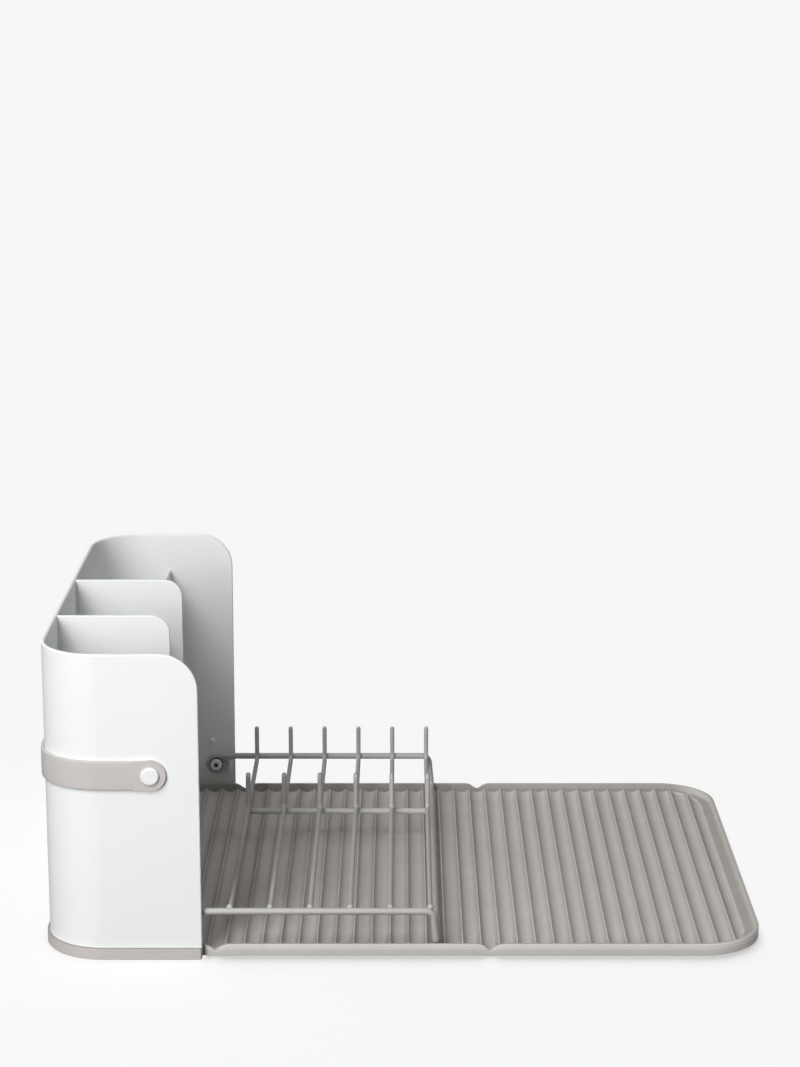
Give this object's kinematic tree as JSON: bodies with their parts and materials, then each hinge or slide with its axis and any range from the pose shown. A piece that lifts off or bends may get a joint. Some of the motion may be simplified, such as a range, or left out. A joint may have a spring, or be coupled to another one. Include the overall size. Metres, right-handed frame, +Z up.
{
  "type": "dish drying rack",
  "caption": "Folding dish drying rack: an upright cutlery caddy with a wire plate rack and a ribbed drying mat that fold up against it, held shut by an elastic strap.",
  "frame": {"origin": "bottom centre of the whole object, on the surface that it stands on", "axes": "+X from the caddy towards the free end of the mat, +Y from the front to the back of the rack, +Z up"},
  "size_m": [0.5814, 0.4298, 0.252],
  "materials": {
    "shell_plastic": "satin white moulded plastic",
    "boot_rubber": "matte warm grey soft rubber",
    "mat_rubber": "matte grey soft rubber",
    "strap_elastic": "matte warm grey silicone elastic",
    "coated_wire": "satin grey coated steel wire",
    "white_hardware": "satin white moulded plastic",
    "screw_metal": "satin light grey painted metal"
  },
  "bodies": {
    "caddy": {"caddy_shell": "shell_plastic", "front_divider": "shell_plastic", "rear_divider": "shell_plastic", "compartment_wall": "shell_plastic", "drain_floor": "shell_plastic", "base_boot": "boot_rubber", "mat_fixed_panel": "mat_rubber", "mat_studs": "white_hardware", "pivot_screw_near": "screw_metal", "pivot_screw_far": "screw_metal", "pivot_bush_near": "white_hardware", "pivot_bush_far": "white_hardware", "pivot_washer_near": "white_hardware", "pivot_washer_far": "white_hardware", "strap_button_near": "white_hardware", "strap_button_far": "white_hardware"},
    "rack": {"rack_frame": "coated_wire", "mid_rail": "coated_wire", "plate_wire_1": "coated_wire", "plate_wire_2": "coated_wire", "plate_wire_3": "coated_wire", "plate_wire_4": "coated_wire", "plate_wire_5": "coated_wire", "plate_wire_6": "coated_wire"},
    "mat_inner": {"mat_inner_panel": "mat_rubber"},
    "mat_outer": {"mat_outer_panel": "mat_rubber"},
    "strap": {"closure_strap": "strap_elastic"}
  },
  "joints": [
    {"name": "mat_inner_fold", "type": "hinge", "parent": "caddy", "child": "mat_inner", "pos_m": [-0.15045, 0, 0.0021], "axis": [0, -1, 0], "range_deg": [0, 90]},
    {"name": "mat_outer_fold", "type": "hinge", "parent": "mat_inner", "child": "mat_outer", "pos_m": [0.07005, 0, -0.0003], "axis": [0, -1, 0], "range_deg": [-180, 0]},
    {"name": "rack_fold", "type": "hinge", "parent": "caddy", "child": "rack", "pos_m": [-0.17805, 0, 0.0296], "axis": [0, -1, 0], "range_deg": [0, 90]},
    {"name": "strap_swing", "type": "hinge", "parent": "caddy", "child": "strap", "pos_m": [-0.19905, 0, 0.1539], "axis": [0, 1, 0], "range_deg": [0, 180], "deforming": ["closure_strap"]}
  ],
  "couplings": [
    {"joint": "mat_outer_fold", "follows": "mat_inner_fold", "ratio": -2},
    {"joint": "rack_fold", "follows": "mat_inner_fold", "ratio": 1}
  ]
}
